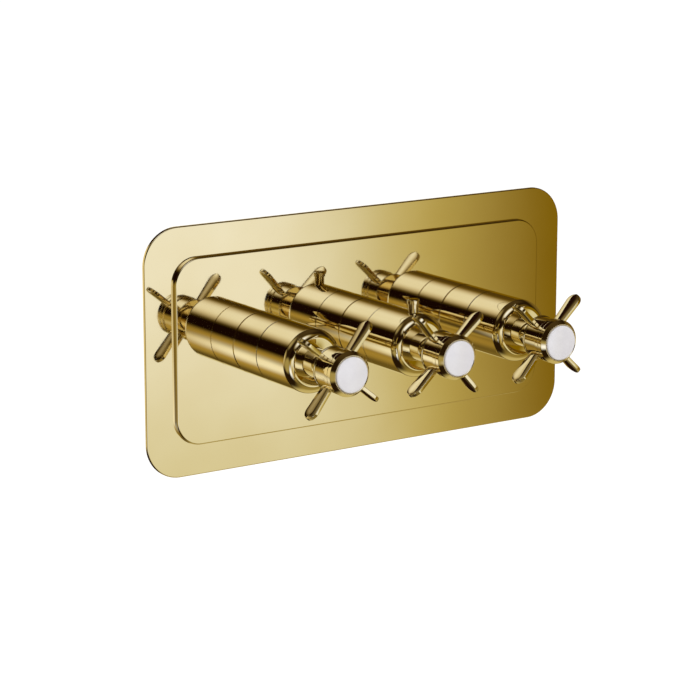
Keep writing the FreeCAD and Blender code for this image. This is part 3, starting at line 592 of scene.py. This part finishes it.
def makeSpokes():
    paddle = makePaddle()
    for side, x in controls.items():
        four = [copyAt(paddle, "spokes." + side, x, turns[side] + angle) for angle in spoke["angles"]]
        makeActive(four[0])
        for other in four[1:]:
            other.select_set(True)
        bpy.ops.object.join()
        polish(four[0])
        standFor(four[0], "spokes_" + side)
    bpy.data.objects.remove(paddle)


makeSpokes()
print("spokes made")

# Safety stop button on the middle sleeve
stopButton = {"depth": 55.8, "stem": 3.1, "flange": 4.4, "flangeBottom": 15.334, "flangeTop": 16.534,
              "cap": 3.7, "capBottom": 24.2, "top": 27.0, "capRound": 0.8, "round": 0.12, "sides": 64}


def makeStopButton():
    p = stopButton
    button = lathe("stopButton", [
        (0, p["flangeBottom"]), (p["flange"], p["flangeBottom"]), (p["flange"], p["flangeTop"]),
        (p["stem"], p["flangeTop"]), (p["stem"], p["capBottom"]), (p["cap"], p["capBottom"]),
        *arc((p["cap"] - p["capRound"], p["top"] - p["capRound"]), p["capRound"], 0, 90), (0, p["top"])],
        sides=p["sides"], upright=p["depth"])
    polish(button, p["round"])
    standFor(button, "stop_button")


makeStopButton()
print("stop button made")

# Springs: open coils, each as long as its part's box.
# coil and wire are radii, along is the axis (1 is y, 2 is z), held the end that stays (0 low, 1 high)
checkSpring = {"travel": 2.5, "coil": 2.4, "wire": 0.3, "turns": 5.0, "along": 2, "held": 1}
springs = {
    "returnSpring": {"node": "return_spring", "joint": "shuttle_slide", "travel": 3.0, "coil": 6.6,
                     "wire": 0.6, "turns": 4.0, "along": 1, "held": 1},
    "buttonSpring": {"node": "button_spring", "joint": "button_press", "travel": 2.5, "coil": 2.6,
                     "wire": 0.3, "turns": 2.5, "along": 2, "held": 0},
    "checkSpring.hot": {"node": "check_spring_hot", "joint": "hot_poppet_lift", **checkSpring},
    "checkSpring.cold": {"node": "check_spring_cold", "joint": "cold_poppet_lift", **checkSpring},
}
springMesh = {"wireSides": 16, "turnSteps": 48}


def makeSpring(name):
    p = springs[name]
    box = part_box(p["node"])
    along = p["along"]
    length = (box[1][along] - box[0][along]) / mm
    foot = [(low + high) / 2 for low, high in zip(*box)]
    foot[along] = box[1][along] if along == 1 else box[0][along]  # the one along the control winds to the front
    deselect()
    bpy.ops.mesh.primitive_circle_add(vertices=springMesh["wireSides"], radius=p["wire"] * mm,
                                      rotation=(math.pi / 2, 0, 0), location=(p["coil"] * mm, 0, p["wire"] * mm))
    spring = bpy.context.object
    spring.name = name
    applyPlace(spring)
    steps = int(springMesh["turnSteps"] * p["turns"])
    applyModifier(spring, "SCREW", axis="Z", angle=2 * math.pi * p["turns"], steps=steps, render_steps=steps,
                  screw_offset=(length - 2 * p["wire"]) * mm)
    bpy.ops.object.mode_set(mode="EDIT")
    bpy.ops.mesh.select_all(action="SELECT")
    bpy.ops.mesh.fill_holes(sides=0)  # the cut ends of the wire
    closeSkin()
    spring.location = foot
    spring.rotation_euler = (math.pi / 2 if along == 1 else 0, 0, 0)
    applyPlace(spring)
    polish(spring)
    standFor(spring, p["node"])
    anchor = list(foot)
    anchor[along] = box[p["held"]][along]
    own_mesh(spring)


for name in springs:
    makeSpring(name)
print("springs made")

# Camera at the photograph's angle
cameraSetup = {"place": (-0.8263, -1.2306, 0.3225), "toward": (0.5402, 0.8119, -0.2216), "lens": 128.26,
               "sensor": 36.0, "clipEnd": 100.0}
bpy.ops.object.camera_add(location=cameraSetup["place"])
camera = bpy.context.object
camera.rotation_euler = Vector(cameraSetup["toward"]).to_track_quat("-Z", "Y").to_euler()
camera.data.lens = cameraSetup["lens"]
camera.data.sensor_width = cameraSetup["sensor"]
camera.data.clip_end = cameraSetup["clipEnd"]
bpy.context.scene.camera = camera

# Studio: a pale floor well below, and a glowing surround, no lamp, that only polished surfaces mirror: it
# carries painted reflections, bright lobes as painted highlights and dark ones as painted dark bands.
# nearPlane is how far in front of the wall a near lobe lies, and nearFrom the place its aim is given from, in m
studio = {"floorDrop": 0.40, "floorSize": 80.0, "floorColor": "#e6e4e0", "floorLift": 0.48, "ambient": 0.74,
          "surroundRadius": 4.0, "surroundSides": 96, "surroundRings": 48, "paintedReflectionBase": "#281a0a",
          "nearPlane": 0.25, "nearFrom": (-0.11, 0.0, -0.03)}
# What polished faces mirror, painted from first to last: aim is azimuth from straight ahead and elevation,
# wide and tall are the half sizes in degrees, core and coreTall the shares of them at full colour
# each lobe is a painted highlight or painted dark band; the table, ceiling, room and bounce that lobes are named
# for are not built, and the real floor is not mirrored
lobes = {
    "ceiling": {"aim": (180, 78), "wide": 60, "tall": 36, "core": 0.4, "color": "#4a3a1e"},
    "sideRight": {"aim": (108, 5), "wide": 50, "tall": 34, "core": 0.4, "color": "#7a6228"},
    "backLeft": {"aim": (-132, 2), "wide": 40, "tall": 30, "core": 0.4, "color": "#a8935c"},
    "lowFloor": {"aim": (70, -50), "wide": 60, "tall": 42, "core": 0.5, "color": "#9c8846"},
    "deepFloor": {"aim": (115, -64), "wide": 46, "tall": 24, "core": 0.4, "color": "#d0c084"},
    "warmRight": {"aim": (46, -8), "wide": 26, "tall": 30, "core": 0.6, "color": "#866905"},
    "leftBounce": {"aim": (-78, -12), "wide": 40, "tall": 26, "core": 0.5, "color": "#ad9c61"},
    "upperLeft": {"aim": (-114, 48), "wide": 30, "tall": 22, "core": 0.2, "color": "#a8976a"},
    "upperRight": {"aim": (38, 26), "wide": 24, "tall": 18, "core": 0.3, "color": "#5e4a1c"},
    "amberEdge": {"aim": (4, -13), "wide": 36, "tall": 15, "core": 0.84, "coreTall": 0.7,
                  "color": "#cab972"},
    "tableLow": {"aim": (4, -14), "wide": 32, "tall": 12, "core": 0.86, "coreTall": 0.7,
                 "color": "#e8e3c8"},
    "table": {"aim": (4, -8), "wide": 30.5, "tall": 9.5, "core": 0.84, "coreTall": 0.25,
              "color": "#ffffff"},
    "darkBand": {"aim": (-35, 16), "wide": 24, "tall": 18, "core": 0.5, "color": "#1a0b05"},
    "tableGlow": {"aim": (-14, -28), "wide": 26, "tall": 24, "core": 0.1, "color": "#bda55a"},
    "leftGlow": {"aim": (-36, -7), "wide": 18, "tall": 13, "core": 0, "color": "#bda55a"},
    # a painted highlight on a near card, mirrored fully by the left barrel and less by the others as painted
    # shade
    "tableLeft": {"aim": (-26, -20), "wide": 22, "tall": 22, "core": 0.1, "color": "#e4eaff", "power": 1.6,
                  "near": True},
    "overGlow": {"aim": (-3, 38), "wide": 36, "tall": 24, "core": 0.35, "color": "#bda55a"},
    "overhead": {"aim": (-4, 37), "wide": 29, "tall": 20, "core": 0.2, "color": "#e4eaff", "power": 1.4},
    "roomBehind": {"aim": (188, 2), "wide": 66, "tall": 30, "core": 0.5, "color": "#e0cfa0", "power": 1.2},
    "brownBehind": {"aim": (146, -13), "wide": 30, "tall": 30, "core": 0.6, "color": "#6a5226"},
    "darkAbove": {"aim": (188, 36), "wide": 26, "tall": 18, "core": 0.5, "color": "#22100a"},
    "darkBelow": {"aim": (172, -36), "wide": 26, "tall": 18, "core": 0.5, "color": "#22100a"},
}


def direction(azimuth, elevation):
    a, e = math.radians(azimuth), math.radians(elevation)  # azimuth 0 is straight ahead of the plate
    return (math.sin(a) * math.cos(e), -math.cos(a) * math.cos(e), math.sin(e))


def emptyTree(material):
    material.use_nodes = True
    material.node_tree.nodes.clear()
    return material.node_tree


def plainMath(tree, operation, *values):
    return addNode(tree, "ShaderNodeMath", dict(enumerate(values)), operation=operation).outputs[0]


def vectorMath(tree, operation, *values):
    node = addNode(tree, "ShaderNodeVectorMath", dict(enumerate(values)), operation=operation)
    return node.outputs["Value" if operation == "LENGTH" else "Vector"]


def partOf(tree, vector, axis):
    return addNode(tree, "ShaderNodeSeparateXYZ", {0: vector}).outputs[axis]


def seenDirectly(tree):
    path = addNode(tree, "ShaderNodeLightPath").outputs
    seen = plainMath(tree, "MAXIMUM", path["Is Camera Ray"], path["Is Glossy Ray"])
    return plainMath(tree, "MAXIMUM", seen, path["Is Transmission Ray"])


def floorMaterial():
    material = bpy.data.materials.new("paleFloor")
    tree = emptyTree(material)
    paper = addNode(tree, "ShaderNodeBsdfDiffuse", {"Color": linear(studio["floorColor"])})
    lift = plainMath(tree, "MULTIPLY", seenDirectly(tree), studio["floorLift"])
    glow = addNode(tree, "ShaderNodeEmission", {"Strength": lift})
    both = addNode(tree, "ShaderNodeAddShader", {0: paper.outputs[0], 1: glow.outputs[0]})
    addNode(tree, "ShaderNodeOutputMaterial", {"Surface": both.outputs[0]})
    return material


def softEdge(tree, value, core):
    edge = addNode(tree, "ShaderNodeMapRange", {"Value": value, "From Min": 1.0, "From Max": core},
                   interpolation_type="SMOOTHSTEP")
    return edge.outputs["Result"]


def nearWay(tree, place, back):
    # the way from nearFrom to where a ray crosses the near plane, and whether the ray goes forward at all: each
    # barrel sees a near lobe from its own place, so the middle and right barrels mirror less of it than the left
    # one, painted shade for the light that the left barrel keeps from them; back points against the ray
    slope = partOf(tree, back, "Y")
    gap = plainMath(tree, "SUBTRACT", -studio["nearPlane"], partOf(tree, place, "Y"))
    steps = plainMath(tree, "DIVIDE", gap, slope)
    moved = addNode(tree, "ShaderNodeVectorMath", {0: back, "Scale": steps}, operation="SCALE")
    crossing = vectorMath(tree, "ADD", place, moved.outputs["Vector"])
    seen = vectorMath(tree, "NORMALIZE", vectorMath(tree, "SUBTRACT", crossing, studio["nearFrom"]))
    return seen, plainMath(tree, "GREATER_THAN", slope, 0.0)


def lobeShare(tree, lobe, way):
    # how much of a lobe shows each way: all in its core, nothing beyond its half sizes
    wide = 2 * math.sin(math.radians(lobe["wide"]) / 2)
    tall = 2 * math.sin(math.radians(lobe["tall"]) / 2)
    away = vectorMath(tree, "SUBTRACT", way, direction(*lobe["aim"]))
    away = vectorMath(tree, "MULTIPLY", away, (1 / wide, 1 / wide, 1 / tall))
    if "coreTall" not in lobe:
        return softEdge(tree, vectorMath(tree, "LENGTH", away), lobe["core"])
    # a square lobe measures its height apart
    level = vectorMath(tree, "MULTIPLY", away, (1, 1, 0))
    beside = softEdge(tree, vectorMath(tree, "LENGTH", level), lobe["core"])
    height = softEdge(tree, plainMath(tree, "ABSOLUTE", partOf(tree, away, "Z")), lobe["coreTall"])
    return plainMath(tree, "MULTIPLY", beside, height)


# the shell's glow is painted reflection: a dark brown base everywhere, with the lobes mixed over it as painted
# highlights and painted dark bands
def paintedReflectionMaterial():
    material = bpy.data.materials.new("paintedReflections")
    tree = emptyTree(material)
    place = addNode(tree, "ShaderNodeTexCoord").outputs["Object"]
    far = vectorMath(tree, "NORMALIZE", place)
    near, ahead = nearWay(tree, place, addNode(tree, "ShaderNodeNewGeometry").outputs["Incoming"])
    light = linear(studio["paintedReflectionBase"])
    for lobe in lobes.values():
        if lobe.get("near"):
            share = plainMath(tree, "MULTIPLY", lobeShare(tree, lobe, near), ahead)
        else:
            share = lobeShare(tree, lobe, far)
        color = [c * lobe.get("power", 1.0) for c in linear(lobe["color"])[:3]] + [1.0]
        mix = addNode(tree, "ShaderNodeMix", {0: share, colorA: light, colorB: color}, data_type="RGBA")
        light = mix.outputs[mixedColor]
    glow = addNode(tree, "ShaderNodeEmission", {"Color": light})
    addNode(tree, "ShaderNodeOutputMaterial", {"Surface": glow.outputs[0]})
    return material


deselect()
bpy.ops.mesh.primitive_plane_add(size=studio["floorSize"], location=(0, 0, -studio["floorDrop"]))
floor = bpy.context.object
floor.name = "floor"
floor.data.materials.append(floorMaterial())
floor.visible_glossy = False

# a glowing shell, no lamp, seen only in reflections, that carries the painted reflections
deselect()
bpy.ops.mesh.primitive_uv_sphere_add(segments=studio["surroundSides"], ring_count=studio["surroundRings"],
                                     radius=studio["surroundRadius"])
shell = bpy.context.object
shell.name = "surround"
shell.data.materials.append(paintedReflectionMaterial())
shell.visible_camera = False
shell.visible_diffuse = False
shell.visible_transmission = False
shell.visible_shadow = False

world = bpy.data.worlds.new("studioWorld")
bpy.context.scene.world = world
tree = emptyTree(world)
level = addNode(tree, "ShaderNodeMapRange", {"Value": seenDirectly(tree), "To Min": studio["ambient"],
                                             "To Max": 1.0})
sky = addNode(tree, "ShaderNodeBackground", {"Color": (1, 1, 1, 1), "Strength": level.outputs["Result"]})
addNode(tree, "ShaderNodeOutputWorld", {"Surface": sky.outputs[0]})

lamps = {
    "key": {"at": (-0.5, -1.3, 1.5), "size": 1.0, "watts": 9.0},
    "fill": {"at": (1.4, -1.2, 0.5), "size": 1.4, "watts": 5.0},
}
for name, lamp in lamps.items():
    bpy.ops.object.light_add(type="AREA", location=lamp["at"])
    light = bpy.context.object
    light.name = name
    light.rotation_euler = (-Vector(lamp["at"])).to_track_quat("-Z", "Y").to_euler()
    light.data.size = lamp["size"]
    light.data.energy = lamp["watts"]
    light.visible_glossy = False
print("studio set")

bpy.context.scene.view_settings.view_transform = "Standard"
